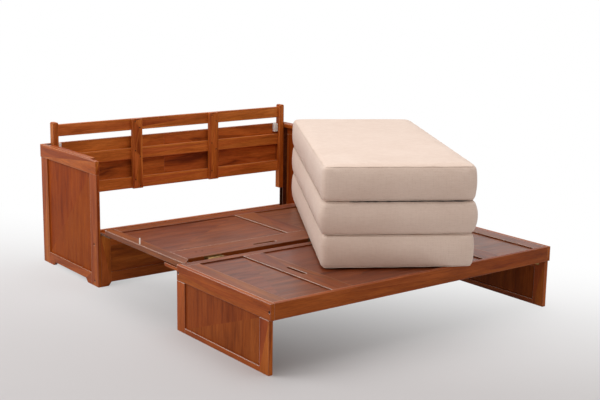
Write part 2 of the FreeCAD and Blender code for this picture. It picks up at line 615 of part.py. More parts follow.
# ---------------------------------------------------------------- front deck
def make_front_deck():
    """Frame and three panels inside deep aprons."""
    low = DECK_UNDER
    half = FRONT_INNER
    rail_front = FRONT_BACK - FRONT_REAR_RAIL_W
    front = FRONT_FRONT + APRON_T
    end_in = half - FRONT_END_W
    panel_top = DECK_TOP - PANEL_DROP
    mid_half = FRONT_MID_W / 2
    spans = [(-end_in, -FRONT_MID_X - mid_half), (-FRONT_MID_X + mid_half, FRONT_MID_X - mid_half),
             (FRONT_MID_X + mid_half, end_in)]
    panels = []
    for x0, x1 in spans:
        panels.append(box(x0 - TONGUE, x1 + TONGUE, rail_front + TONGUE, front - TONGUE,
                          panel_top - PANEL_T, panel_top))
    rear = box(-half, half, FRONT_BACK, rail_front, low, DECK_TOP)
    rear = rounded(rear, lambda x, y, z: near(y, FRONT_BACK))
    add("front_deck_rear_rail", grooved(rear, panels))
    ends = []
    middles = []
    for side in (-1, 1):
        ends.append(grooved(box(side * half, side * end_in, rail_front, front, low, DECK_TOP), panels))
        centre = side * FRONT_MID_X
        stile = box(centre - mid_half, centre + mid_half, rail_front, front, low, DECK_TOP)
        stile = stile.cut(slot_cut(centre, FRONT_SLOT_Y, SLOT_W, SLOT_L, low - 1, DECK_TOP + 1))
        middles.append(grooved(stile, panels))
    add("front_deck_end_stiles", *ends)
    add("front_deck_middle_stiles", *middles)
    add("front_deck_panels", *panels)
    apron = box(-half, half, front, FRONT_FRONT, APRON_BOTTOM, DECK_TOP)
    apron = rounded(apron, lambda x, y, z: near(y, FRONT_FRONT) and abs(x) < 1)
    apron = grooved(apron, panels)
    back_y = FRONT_BACK - REAR_APRON_BACK
    rear_apron = box(-half, half, back_y, back_y - APRON_T, APRON_BOTTOM, low)
    bolts = []
    for name, side in SIDES:
        face = side * FRONT_HALF
        end = box(face, side * half, FRONT_BACK, FRONT_FRONT, APRON_BOTTOM, DECK_TOP)
        end = rounded(end, lambda x, y, z: near(x, face))
        bolt_z = (APRON_BOTTOM + DECK_TOP) / 2
        for y in (FRONT_FRONT + APRON_T / 2, back_y - APRON_T / 2):
            solid, hole = bolt(face, y, bolt_z, side)
            end = end.cut(hole)
            apron = apron.cut(hole)
            rear_apron = rear_apron.cut(hole)
            bolts.append(solid)
        add("front_deck_end_apron_" + name, end)
    add("front_deck_front_apron", apron)
    add("front_deck_rear_apron", rear_apron)
    add("apron_bolts", *bolts)


# ---------------------------------------------------------------------- legs
def make_leg(name, side):
    """A framed leg panel that folds in under the front deck."""
    outer = side * FRONT_HALF
    inner = side * (FRONT_HALF - LEG_T)
    back = FRONT_BACK - LEG_REAR_IN
    front = FRONT_FRONT + LEG_FRONT_IN
    top = APRON_BOTTOM - LEG_GAP
    panel_face = outer - side * LEG_PANEL_BACK
    panel = box(panel_face, panel_face - side * LEG_PANEL_T, back - LEG_STILE_W + TONGUE,
                front + LEG_STILE_W - TONGUE, LEG_BOTTOM_RAIL_H - TONGUE, top)
    rear = box(outer, inner, back, back - LEG_STILE_W, 0, top)
    rear = rounded(rear, lambda x, y, z: near(y, back) and near(z, 0), LEG_CORNER_R)
    fore = box(outer, inner, front + LEG_STILE_W, front, 0, top)
    fore = rounded(fore, lambda x, y, z: near(y, front) and near(z, 0), LEG_CORNER_R)
    fore = rounded(fore, lambda x, y, z: near(y, front) and near(z, (top + LEG_CORNER_R) / 2))
    low = box(outer, inner, back - LEG_STILE_W, front + LEG_STILE_W, 0, LEG_BOTTOM_RAIL_H)
    high = box(panel_face - side * LEG_PANEL_T, inner, back - LEG_STILE_W, front + LEG_STILE_W,
               top - LEG_TOP_RAIL_H, top)
    add("leg_frame_" + name, *[grooved(piece, [panel]) for piece in (rear, fore, low, high)])
    add("leg_panel_" + name, panel)


def leg_hinge(side, y, fixed):
    """One leaf of a leg hinge with its knuckles, on the apron or on the leg."""
    wall = side * FRONT_INNER
    axis_x = side * LEG_AXIS_X
    third = LEAF_L / 3
    sign = 1 if fixed else -1
    leaf = box(wall, wall - side * LEAF_T, y - LEAF_L / 2, y + LEAF_L / 2,
               APRON_BOTTOM + sign * LEG_KNUCKLE_R, APRON_BOTTOM + sign * (LEG_KNUCKLE_R + LEAF_H))
    spans = [(-LEAF_L / 2, -third / 2 - KNUCKLE_GAP), (third / 2 + KNUCKLE_GAP, LEAF_L / 2)] if fixed else [
        (-third / 2, third / 2)]
    bore = LEG_PIN_R + (0 if fixed else PIN_GAP)
    for a, b in spans:
        start = Vector(axis_x, y + a, APRON_BOTTOM)
        end = Vector(axis_x, y + b, APRON_BOTTOM)
        web = box(wall, wall - side * LEAF_T, y + a, y + b, APRON_BOTTOM,
                  APRON_BOTTOM + sign * (LEG_KNUCKLE_R + 1))
        leaf = leaf.fuse([rod(LEG_KNUCKLE_R, start, end), web])
        leaf = leaf.cut(rod(bore, start, end))
    return leaf.removeSplitter()


def make_leg_hinges():
    """Butt hinges between aprons and legs."""
    fixed = []
    for name, side in SIDES:
        moving = []
        for y in LEG_HINGE_Y:
            fixed.append(leg_hinge(side, y, True))
            axis_x = side * LEG_AXIS_X
            fixed.append(rod(LEG_PIN_R, Vector(axis_x, y - LEAF_L / 2, APRON_BOTTOM),
                             Vector(axis_x, y + LEAF_L / 2, APRON_BOTTOM)))
            moving.append(leg_hinge(side, y, False))
        add("leg_hinge_leaves_" + name, *moving)
    add("leg_hinge_apron_leaves", *fixed)


# ------------------------------------------------------------------ mattress
def pad_outline(inset, pull, z):
    """A section's outline: round corners joined by sides that draw in a little."""
    radius = max(MAT_CORNER_R - inset, MAT_CORNER_R / 4)
    x0, x1 = inset, MAT_W - inset
    y0, y1 = inset, MAT_L - inset
    k = radius * (1 - math.sqrt(0.5))
    corners = [(x1, y0, -1, 1), (x1, y1, -1, -1), (x0, y1, 1, -1), (x0, y0, 1, 1)]
    mids = [(x1 - pull, (y0 + y1) / 2), ((x0 + x1) / 2, y1 - pull),
            (x0 + pull, (y0 + y1) / 2), ((x0 + x1) / 2, y0 + pull)]
    edges = []
    ends = []
    for i, (cx, cy, sx, sy) in enumerate(corners):
        along_x = Vector(cx + sx * radius, cy, z)
        along_y = Vector(cx, cy + sy * radius, z)
        first, last = (along_x, along_y) if i % 2 == 0 else (along_y, along_x)
        edges.append(Part.Arc(first, Vector(cx + sx * k, cy + sy * k, z), last).toShape())
        ends.append((first, last))
    sides = []
    for i in range(4):
        start = ends[i][1]
        stop = ends[(i + 1) % 4][0]
        if pull > 0:
            sides.append(Part.Arc(start, Vector(mids[i][0], mids[i][1], z), stop).toShape())
        else:
            sides.append(Part.makeLine(start, stop))
    ring = []
    for arc, straight in zip(edges, sides):
        ring.extend([arc, straight])
    return Part.Wire(ring)


def make_pad(base):
    """One crowned section of the folded mattress."""
    edge = MAT_EDGE
    levels = [(base, edge + MAT_CORNER_R, 0), (base + MAT_CROWN / 3, edge, MAT_PULL / 2),
              (base + edge, MAT_PULL / 2, MAT_PULL), (base + MAT_H / 2, 0, MAT_PULL),
              (base + MAT_H - edge, MAT_PULL / 2, MAT_PULL),
              (base + MAT_H - MAT_CROWN / 3, edge, MAT_PULL / 2),
              (base + MAT_H, edge + 3 * MAT_CORNER_R, 0)]
    wires = [pad_outline(inset, pull, z) for z, inset, pull in levels]
    return Part.makeLoft(wires, True, True)


def make_mattress():
    """Three sections, one on another, turned on the platform."""
    for i, name in enumerate(("bottom", "middle", "top")):
        pad = make_pad(DECK_TOP + SEAT_GAP + i * (MAT_H + SEAT_GAP))
        pad.rotate(Vector(0, 0, 0), Vector(0, 0, 1), MAT_TURN)
        pad.translate(Vector(MAT_X, MAT_Y, 0))
        add("mattress_" + name, pad)


# --------------------------------------------------------------------- model
def make_model():
    """Every piece of the bed, in its working frame."""
    bolts = []
    for name, side in SIDES:
        bolts.append((side, make_side(name, side)))
        make_top_track(name, side)
        make_headboard_track(name, side)
        make_carrier(name, side)
        make_leg(name, side)
    make_back_and_floor(make_base(bolts))
    make_headboard()
    make_rear_deck()
    make_hinges()
    make_front_deck()
    make_leg_hinges()
    make_mattress()


def overall_box():
    """The box round all pieces."""
    whole = FreeCAD.BoundBox()
    for solids in NODES.values():
        for solid in solids:
            whole.add(solid.optimalBoundingBox(False))
    return whole


def write_parts():
    """Move the model to its origin and write one file per node."""
    os.makedirs("parts", exist_ok=True)
    whole = overall_box()
    shift = Vector(-(whole.XMin + whole.XMax) / 2, -(whole.YMin + whole.YMax) / 2, -whole.ZMin)
    for name, solids in NODES.items():
        for solid in solids:
            solid.translate(shift)
            if not solid.isValid() or len(solid.Solids) != 1:
                print("check", name, solid.isValid(), len(solid.Solids))
        shape = solids[0] if len(solids) == 1 else Part.makeCompound(solids)
        shape.exportStep(os.path.join("parts", name + ".step"))
    print("nodes", len(NODES), "shift", [round(c, 4) for c in shift])
    print("size", round(whole.XLength, 2), round(whole.YLength, 2), round(whole.ZLength, 2))


make_model()
write_parts()
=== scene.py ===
"""Dressed scene of an opened cabinet bed with a folded mattress on its platform."""

import logging
import math
from dataclasses import dataclass, field
from enum import Enum
from typing import Iterable, Optional, Sequence

import bmesh  # noqa: E402
import bpy  # noqa: E402
from mathutils import Matrix, Vector, noise  # noqa: E402


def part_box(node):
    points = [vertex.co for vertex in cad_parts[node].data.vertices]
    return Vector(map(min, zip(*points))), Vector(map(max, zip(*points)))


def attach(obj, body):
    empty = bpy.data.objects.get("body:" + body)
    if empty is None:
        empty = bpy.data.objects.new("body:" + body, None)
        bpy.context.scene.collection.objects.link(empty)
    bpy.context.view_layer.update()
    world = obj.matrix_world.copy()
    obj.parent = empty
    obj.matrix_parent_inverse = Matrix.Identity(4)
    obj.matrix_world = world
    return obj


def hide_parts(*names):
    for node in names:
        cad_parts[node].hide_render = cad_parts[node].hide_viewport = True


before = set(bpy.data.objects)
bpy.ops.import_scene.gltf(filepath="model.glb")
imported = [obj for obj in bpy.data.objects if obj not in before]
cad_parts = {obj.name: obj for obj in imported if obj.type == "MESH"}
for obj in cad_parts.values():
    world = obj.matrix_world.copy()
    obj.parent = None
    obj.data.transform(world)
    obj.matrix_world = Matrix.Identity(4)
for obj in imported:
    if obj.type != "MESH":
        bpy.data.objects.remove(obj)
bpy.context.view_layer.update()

LOG = logging.getLogger("cabinet_bed")
Colour = tuple[float, float, float]
WHITE: Colour = (1.0, 1.0, 1.0)

# Wood: waves per metre along and across the grain, and how far apart two boards' grain lies.
FIGURE_GRAIN = (1.1, 9.0)
STREAK_GRAIN = (9.0, 240.0)
PORE_GRAIN = (26.0, 700.0)
BOARD_SHIFT = (7.3, 5.1, 9.7)
STREAK_TONES = ((0.32, (0.55, 0.50, 0.45)), (0.62, WHITE))
PORE_TONES = ((0.36, (0.35, 0.28, 0.22)), (0.5, WHITE))
WEAVE_TONES = ((0.25, (0.72, 0.70, 0.68)), (0.8, WHITE))

# Mattress covers, in metres.
SEAM_REACH = 0.006
SEAM_DIP = 0.0008
CROWN_REACH = 0.06
WALL_REACH = 0.05
WRINKLE_HEIGHT = 0.0016
FOLD_HEIGHT = 0.0007
PUFF_PRESSURE = 3.0
PUFF_FRAMES = 12
WELT_RADIUS = 0.0013
WELT_POINTS = 240
# Dark strip of painted shadow in the gap under the top section, along the middle section's near
# upper edge.
GAP_SHADOW_RADIUS = 0.0026
GAP_SHADOW_STEPS = 90


class GrainAxis(Enum):
    """Direction in which a board's grain runs."""

    ACROSS = 0
    DEPTH = 1
    UPRIGHT = 2


class Edge(Enum):
    """Upper or lower sewn edge of a mattress section."""

    LOWER = -1
    UPPER = 1


# ------------------------------------------------------------------ node helpers
class ShaderSheet:
    """One material's node tree, with short calls to fill it."""

    def __init__(self, name: str) -> None:
        """Make an empty material with a principled shader.

        Args:
            name: The material's name.
        """
        self.material: bpy.types.Material = bpy.data.materials.new(name)
        self.material.use_nodes = True
        self.tree = self.material.node_tree
        self.shader = self.tree.nodes["Principled BSDF"]
        self.output = self.tree.nodes["Material Output"]

    def node(self, kind: str, values: Optional[dict] = None, **settings: object) -> bpy.types.Node:
        """Add a node.

        Args:
            kind: Blender's name of the node type.
            values: Input sockets by name or index, with a number or a socket each.
            **settings: Attributes of the node itself.

        Returns:
            The new node.
        """
        made = self.tree.nodes.new(kind)
        for key, value in settings.items():
            setattr(made, key, value)
        for key, value in (values or {}).items():
            self.feed(made.inputs[key], value)
        return made

    def feed(self, socket: bpy.types.NodeSocket, value: object) -> None:
        """Link a socket, or set its number."""
        if isinstance(value, bpy.types.NodeSocket):
            self.tree.links.new(value, socket)
        else:
            socket.default_value = value

    def math(self, operation: str, a: object, b: object = 0.0) -> bpy.types.NodeSocket:
        """One arithmetic step on two numbers, and its result."""
        return self.node("ShaderNodeMath", {0: a, 1: b}, operation=operation).outputs[0]

    def vector(self, operation: str, a: object, b: object) -> bpy.types.NodeSocket:
        """One step on two vectors, and its result."""
        return self.node("ShaderNodeVectorMath", {0: a, 1: b}, operation=operation).outputs[0]

    def dot(self, a: object, b: object) -> bpy.types.NodeSocket:
        """The dot product of two vectors."""
        made = self.node("ShaderNodeVectorMath", {0: a, 1: b}, operation="DOT_PRODUCT")
        return made.outputs["Value"]

    def spread(self, value: object, low: float, high: float, to_low: float, to_high: float,
               way: str = "LINEAR") -> bpy.types.NodeSocket:
        """Map a number from one span to another, and clamp it."""
        values = {"Value": value, "From Min": low, "From Max": high,
                  "To Min": to_low, "To Max": to_high}
        return self.node("ShaderNodeMapRange", values, interpolation_type=way).outputs[0]

    def noise(self, vector: object, scale: float, detail: float, rough: float = 0.5,
              twist: float = 0.0) -> bpy.types.NodeSocket:
        """A noise field's value."""
        made = self.node("ShaderNodeTexNoise", {"Vector": vector, "Scale": scale, "Detail": detail,
                                                "Roughness": rough, "Distortion": twist})
        return made.outputs[0]

    def ramp(self, value: object, stops: Sequence[tuple[float, Colour]]) -> bpy.types.NodeSocket:
        """A colour ramp over a number.

        Args:
            value: The number or socket that drives it.
            stops: Places from 0 to 1 with their colours.

        Returns:
            The ramp's colour socket.
        """
        made = self.node("ShaderNodeValToRGB", {"Fac": value})
        elements = made.color_ramp.elements
        while len(elements) < len(stops):
            elements.new(0.5)
        for element, (place, colour) in zip(elements, stops):
            element.position = place
            element.color = (*colour, 1.0)
        return made.outputs["Color"]

    def blend(self, kind: str, amount: object, a: object, b: object) -> bpy.types.NodeSocket:
        """Blend two colours.

        Args:
            kind: Blender's name of the blend type.
            amount: How much of the second colour comes in.
            a: The first colour.
            b: The second colour.

        Returns:
            The blended colour's socket.
        """
        made = self.node("ShaderNodeMix", data_type="RGBA", blend_type=kind)
        for index, value in ((0, amount), (6, a), (7, b)):
            self.feed(made.inputs[index], value)
        return made.outputs[2]

    def bump(self, height: object, strength: float, depth: float,
             below: object = None) -> bpy.types.NodeSocket:
        """A bump from a height field.

        Args:
            height: The height field.
            strength: The bump's strength.
            depth: The height of a full step, in metres.
            below: The normal that it is laid over, if any.

        Returns:
            The bumped normal's socket.
        """
        values = {"Height": height, "Strength": strength, "Distance": depth}
        if below is not None:
            values["Normal"] = below
        return self.node("ShaderNodeBump", values).outputs[0]

    def set(self, **values: object) -> None:
        """Set or link the principled shader's own sockets, underscores standing for spaces."""
        for key, value in values.items():
            self.feed(self.shader.inputs[key.replace("_", " ")], value)


# ---------------------------------------------------------------------- finishes
@dataclass(frozen=True)
class GrainZone:
    """A block of space in which a grouped frame's grain runs another way."""

    low: tuple[float, float, float]
    high: tuple[float, float, float]
    axis: GrainAxis


@dataclass(frozen=True)
class StainedWood:
    """Reddish-brown stained hardwood under satin lacquer."""

    name: str
    axis: GrainAxis
    light: Colour = (0.56, 0.145, 0.026)
    middle: Colour = (0.43, 0.092, 0.013)
    dark: Colour = (0.24, 0.042, 0.006)
    zone: Optional[GrainZone] = None
    figure: float = 1.0
    gloss: float = 0.40
    coat: float = 0.04
    shine: float = 0.09
    # Painted highlight: the colour that edges facing the key lamp are lightened to, in place of
    # the lamp's glint on rounded lacquer.
    highlit_edges: Colour = (0.95, 0.66, 0.50)
    highlight_strength: float = 0.85
    edge_width: float = 0.004
    # Painted highlight: the way towards the key lamp; edges that face it are painted lighter.
    toward_key_lamp: tuple[float, float, float] = (-0.45, 0.35, 0.82)
    seed: float = 0.0

    def stretched(self, sheet: ShaderSheet, place: bpy.types.NodeSocket, axis: GrainAxis,
                  along: float, across: float) -> bpy.types.NodeSocket:
        """Coordinates that are drawn out along the grain.

        Args:
            sheet: The material's sheet.
            place: The place on the piece.
            axis: The way the grain runs.
            along: Waves per metre along the grain.
            across: Waves per metre across it.

        Returns:
            The coordinates' socket.
        """
        scales = [across, across, across]
        scales[axis.value] = along
        return sheet.vector("MULTIPLY", place, tuple(scales))

    def inside(self, sheet: ShaderSheet, place: bpy.types.NodeSocket) -> bpy.types.NodeSocket:
        """Tell the other grain zone from the rest.

        Args:
            sheet: The material's sheet.
            place: The place on the piece.

        Returns:
            1 inside the zone, and 0 outside it.
        """
        parts = sheet.node("ShaderNodeSeparateXYZ", {0: place}).outputs
        result: object = 1.0
        for part, low, high in zip(parts, self.zone.low, self.zone.high):
            above = sheet.math("GREATER_THAN", part, low)
            under = sheet.math("LESS_THAN", part, high)
            result = sheet.math("MULTIPLY", sheet.math("MULTIPLY", above, under), result)
        return result

    def coordinates(self, sheet: ShaderSheet, place: bpy.types.NodeSocket, along: float,
                    across: float) -> bpy.types.NodeSocket:
        """Grain coordinates, turned inside the zone where there is one.

        Args:
            sheet: The material's sheet.
            place: The place on the piece.
            along: Waves per metre along the grain.
            across: Waves per metre across it.

        Returns:
            The coordinates' socket.
        """
        main = self.stretched(sheet, place, self.axis, along, across)
        if self.zone is None:
            return main
        turned = self.stretched(sheet, place, self.zone.axis, along, across)
        mix = sheet.node("ShaderNodeMix", data_type="VECTOR")
        sheet.feed(mix.inputs[0], self.inside(sheet, place))
        sheet.feed(mix.inputs[4], main)
        sheet.feed(mix.inputs[5], turned)
        return mix.outputs[1]

    def edge_highlight_mask(self, sheet: ShaderSheet, eased: bpy.types.NodeSocket) -> bpy.types.NodeSocket:
        """Painted highlight on a board's edges, strongest where they face the key lamp above the
        left back.

        Args:
            sheet: The material's sheet.
            eased: The normal with its edges eased.

        Returns:
            A number from 0 to the finish's painted highlight strength.
        """
        plain = sheet.node("ShaderNodeNewGeometry").outputs["Normal"]
        turned = sheet.spread(sheet.dot(eased, plain), 0.99, 0.86, 0.0, self.highlight_strength)
        upper = sheet.spread(sheet.dot(eased, self.toward_key_lamp), 0.42, 0.80, 0.12, 1.0)
        return sheet.math("MULTIPLY", turned, upper)

    def material(self) -> bpy.types.Material:
        """Build the finish.

        Returns:
            The wood's material.
        """
        sheet = ShaderSheet(self.name)
        place = sheet.node("ShaderNodeTexCoord").outputs["Object"]
        board = sheet.node("ShaderNodeNewGeometry").outputs["Random Per Island"]
        right, back, up = BOARD_SHIFT
        shift = sheet.vector("SCALE", (right + self.seed, back, up), (0.0, 0.0, 0.0))
        sheet.feed(shift.node.inputs["Scale"], board)
        along, across = FIGURE_GRAIN
        wide = self.coordinates(sheet, place, along * self.figure, across * self.figure)
        fine = self.coordinates(sheet, place, *STREAK_GRAIN)
        pore = self.coordinates(sheet, place, *PORE_GRAIN)
        figure = sheet.noise(sheet.vector("ADD", wide, shift), 1.5, 5.0, 0.58, 0.9)
        streak = sheet.noise(sheet.vector("ADD", fine, shift), 1.0, 3.0, 0.6)
        pores = sheet.noise(sheet.vector("ADD", pore, shift), 1.0, 2.0, 0.5)
        cloud = sheet.noise(sheet.vector("ADD", place, shift), 2.3, 2.0)
        base = sheet.ramp(figure, ((0.30, self.dark), (0.48, self.middle), (0.70, self.light)))
        lined = sheet.blend("MULTIPLY", 0.55, base, sheet.ramp(streak, STREAK_TONES))
        pored = sheet.blend("MULTIPLY", 0.35, lined, sheet.ramp(pores, PORE_TONES))
        by_board = sheet.spread(board, 0.0, 1.0, 0.86, 1.08)
        tone = sheet.math("ADD", by_board, sheet.spread(cloud, 0.3, 0.7, -0.09, 0.09))
        hue = sheet.spread(board, 0.0, 1.0, 0.494, 0.506)
        toned = sheet.node("ShaderNodeHueSaturation", {"Color": pored, "Value": tone, "Hue": hue})
        eased = sheet.node("ShaderNodeBevel", {"Radius": self.edge_width}, samples=4).outputs[0]
        # Painted highlight on the edges that face the key lamp, mixed into the base colour.
        edge = self.edge_highlight_mask(sheet, eased)
        highlit_edges = sheet.blend("MIX", edge, toned.outputs[0], (*self.highlit_edges, 1.0))
        rough = sheet.spread(streak, 0.3, 0.7, self.gloss - 0.05, self.gloss + 0.08)
        relief = sheet.bump(streak, 0.22, 0.0006, eased)
        relief = sheet.bump(pores, 0.18, 0.0004, relief)
        sheet.set(Base_Color=highlit_edges, Roughness=rough, Normal=relief, Coat_Weight=self.coat,
                  Coat_Roughness=0.2, Specular_IOR_Level=self.shine)
        return sheet.material


@dataclass(frozen=True)
class WovenCover:
    """Plain beige woven mattress cover."""

    name: str = "beige woven cover"
    light: Colour = (0.83, 0.67, 0.575)
    dark: Colour = (0.76, 0.595, 0.50)
    thread: float = 0.0016

    def material(self) -> bpy.types.Material:
        """Build the weave from two crossed sets of threads.

        Returns:
            The cover's material.
        """
        sheet = ShaderSheet(self.name)
        place = sheet.node("ShaderNodeTexCoord").outputs["Object"]
        density = 1.0 / self.thread
        wave = {"Vector": place, "Scale": density / 20.0, "Distortion": 0.6, "Detail": 1.0,
                "Detail Scale": 2.0}
        threads = [sheet.node("ShaderNodeTexWave", wave, bands_direction=axis).outputs["Fac"]
                   for axis in ("X", "Y", "Z")]
        weave = sheet.math("ADD", threads[0], sheet.math("ADD", threads[1], threads[2]))
        slub = sheet.noise(sheet.vector("MULTIPLY", place, (30.0, 30.0, 160.0)), 1.0, 3.0, 0.6)
        cloud = sheet.noise(place, 5.0, 3.0, 0.55)
        amount = sheet.math("ADD", sheet.spread(slub, 0.35, 0.65, 0.0, 0.5),
                            sheet.spread(cloud, 0.35, 0.7, 0.0, 0.5))
        colour = sheet.blend("MIX", amount, (*self.light, 1.0), (*self.dark, 1.0))
        flecked = sheet.blend("MULTIPLY", 0.20, colour, sheet.ramp(weave, WEAVE_TONES))
        creases = sheet.noise(place, 24.0, 3.0, 0.55, 0.8)
        relief = sheet.bump(creases, 0.25, 0.003)
        relief = sheet.bump(slub, 0.25, 0.0008, relief)
        relief = sheet.bump(weave, 0.30, 0.0005, relief)
        sheet.set(Base_Color=flecked, Roughness=0.92, Normal=relief, Sheen_Weight=0.25,
                  Sheen_Roughness=0.5, Specular_IOR_Level=0.25)
        return sheet.material


@dataclass(frozen=True)
class MouldedNylon:
    """White moulded nylon with a faint flow texture."""

    name: str = "white nylon"
    light: Colour = (0.86, 0.86, 0.84)
    dark: Colour = (0.74, 0.74, 0.71)

    def material(self) -> bpy.types.Material:
        """Build the nylon's material."""
        sheet = ShaderSheet(self.name)
        place = sheet.node("ShaderNodeTexCoord").outputs["Object"]
        cloud = sheet.noise(place, 60.0, 3.0)
        grain = sheet.noise(place, 900.0, 2.0)
        sheet.set(Base_Color=sheet.ramp(cloud, ((0.3, self.dark), (0.7, self.light))),
                  Roughness=sheet.spread(grain, 0.3, 0.7, 0.36, 0.5),
                  Normal=sheet.bump(grain, 0.2, 0.0003), Subsurface_Weight=0.1)
        return sheet.material


@dataclass(frozen=True)
class WorkedMetal:
    """Drawn, plated or blackened metal with fine marks along one axis."""

    name: str
    light: Colour
    dark: Colour
    roughness: float
    axis: GrainAxis = GrainAxis.ACROSS
    metallic: float = 1.0

    def material(self) -> bpy.types.Material:
        """Build the metal's material."""
        sheet = ShaderSheet(self.name)
        place = sheet.node("ShaderNodeTexCoord").outputs["Object"]
        scales = [900.0, 900.0, 900.0]
        scales[self.axis.value] = 40.0
        marks = sheet.noise(sheet.vector("MULTIPLY", place, tuple(scales)), 1.0, 3.0)
        tarnish = sheet.noise(place, 55.0, 4.0, 0.6)
        sheet.set(Base_Color=sheet.ramp(tarnish, ((0.35, self.dark), (0.65, self.light))),
                  Metallic=self.metallic,
                  Roughness=sheet.spread(marks, 0.3, 0.7, self.roughness - 0.06,
                                         self.roughness + 0.1),
                  Normal=sheet.bump(marks, 0.15, 0.0002))
        return sheet.material


BLACKENED = ((0.030, 0.024, 0.020), (0.012, 0.010, 0.009), 0.45)
# A paler, stronger painted highlight on edges that face the key lamp.
STRONG_EDGE_HIGHLIGHT = {"highlit_edges": (1.0, 0.84, 0.76), "highlight_strength": 1.0, "edge_width": 0.005}


# ------------------------------------------------------------------ CAD dressing
class Dresser:
    """Gives CAD nodes their finishes."""

    def __init__(self) -> None:
        """Start with no finishes made."""
        self.made: dict[str, bpy.types.Material] = {}

    def finish(self, finish: object) -> bpy.types.Material:
        """The material of a finish, built once."""
        if finish.name not in self.made:
            self.made[finish.name] = finish.material()
        return self.made[finish.name]

    def dress(self, nodes: Iterable[str], finish: object) -> None:
        """Put a finish on CAD nodes.

        Args:
            nodes: Names of the nodes.
            finish: The finish to put on all of them.
        """
        material = self.finish(finish)
        for name in nodes:
            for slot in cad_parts[name].material_slots:
                slot.material = material
            LOG.info("dressed %s in %s", name, finish.name)

    def wood(self, nodes: Iterable[str], name: str, axis: GrainAxis, **looks: object) -> None:
        """Put a wood finish on CAD nodes.

        Args:
            nodes: Names of the nodes.
            name: The finish's name.
            axis: The way its grain runs.
            **looks: What differs from plain stained wood.
        """
        self.dress(nodes, StainedWood(name, axis, **looks))


def both(stem: str) -> tuple[str, str]:
    """The left and right node of a pair."""
    return stem + "_left", stem + "_right"


@dataclass
class Cabinet:
    """Framed sides, base front, back boards, floor and tracks."""

    dresser: Dresser
    rail_top: float = 0.064
    stile_width: float = 0.074
    base_stile: float = 0.056

    def frame_zone(self, node: str) -> GrainZone:
        """The part of a side frame in which the bottom rail lies."""
        low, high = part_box(node)
        return GrainZone((low.x - 1, low.y + self.stile_width, -1.0),
                         (high.x + 1, high.y - self.stile_width, self.rail_top), GrainAxis.DEPTH)

    def base_zone(self) -> GrainZone:
        """The part of the base front between its stiles."""
        low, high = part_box("base_front_frame")
        return GrainZone((low.x + self.base_stile, -9.0, -1.0),
                         (high.x - self.base_stile, 9.0, 1.0), GrainAxis.ACROSS)

    def build(self) -> None:
        """Dress every cabinet node."""
        wood = self.dresser.wood
        across, depth, upright = GrainAxis
        for side in both("side_frame"):
            wood([side], f"lacquered {side} wood", upright, zone=self.frame_zone(side))
        wood(both("side_top_rail") + both("top_track"), "lacquered side rail wood", depth,
             light=(0.60, 0.165, 0.034), seed=1.7)
        wood(both("side_panel"), "veneered side panel", upright, figure=1.6,
             light=(0.43, 0.095, 0.010), middle=(0.37, 0.070, 0.006), dark=(0.26, 0.042, 0.003),
             coat=0.0, shine=0.04, seed=3.1)
        wood(["base_front_frame"], "lacquered base front wood", upright, zone=self.base_zone(),
             seed=4.2)
        wood(["base_front_panel", "floor_panel"], "veneered base panel", across, figure=1.4,
             seed=5.9)
        wood(["back_boards", "back_lower_rail"], "glued back board wood", across, figure=1.5,
             light=(0.66, 0.185, 0.038), middle=(0.52, 0.125, 0.022), dark=(0.20, 0.040, 0.009),
             seed=6.4)
        wood(["base_corner_posts"], "plain post wood", upright, gloss=0.5, coat=0.1, seed=7.7)
        wood(["floor_cleats"], "plain cleat wood", across, gloss=0.5, coat=0.1, seed=8.3)
        self.dresser.dress(both("headboard_track"),
                           WorkedMetal("bronzed track metal", (0.20, 0.085, 0.040),
                                       (0.11, 0.045, 0.022), 0.42, upright, 0.75))
        self.dresser.dress(["base_bolts"], WorkedMetal("blackened bolt metal", *BLACKENED))


@dataclass
class Headboard:
    """Raised headboard of rails and stiles."""

    dresser: Dresser
    rails: tuple[str, ...] = ("headboard_top_rail", "headboard_middle_rail",
                              "headboard_bottom_rail")

    def build(self) -> None:
        """Dress every headboard node."""
        wood, dress = self.dresser.wood, self.dresser.dress
        for index, rail in enumerate(self.rails):
            wood([rail], f"lacquered {rail} wood", GrainAxis.ACROSS, light=(0.74, 0.225, 0.052),
                 middle=(0.60, 0.160, 0.030), dark=(0.34, 0.072, 0.012), seed=11.3 + 2.9 * index)
        uprights = both("headboard_end_stile") + both("headboard_middle_stile")
        for index, upright in enumerate(uprights):
            wood([upright], f"lacquered {upright} wood", GrainAxis.UPRIGHT,
                 light=(0.70, 0.205, 0.045), middle=(0.54, 0.135, 0.023), seed=20.9 + 3.7 * index)
        dress(["headboard_guide_discs", "headboard_glides"], MouldedNylon())
        dress(["headboard_guide_pins"],
              WorkedMetal("bright pin steel", (0.55, 0.55, 0.54), (0.38, 0.38, 0.37), 0.35))
        dress(["headboard_screws"], WorkedMetal("blackened screw metal", (0.028, 0.022, 0.018),
                                                (0.012, 0.010, 0.009), 0.45))


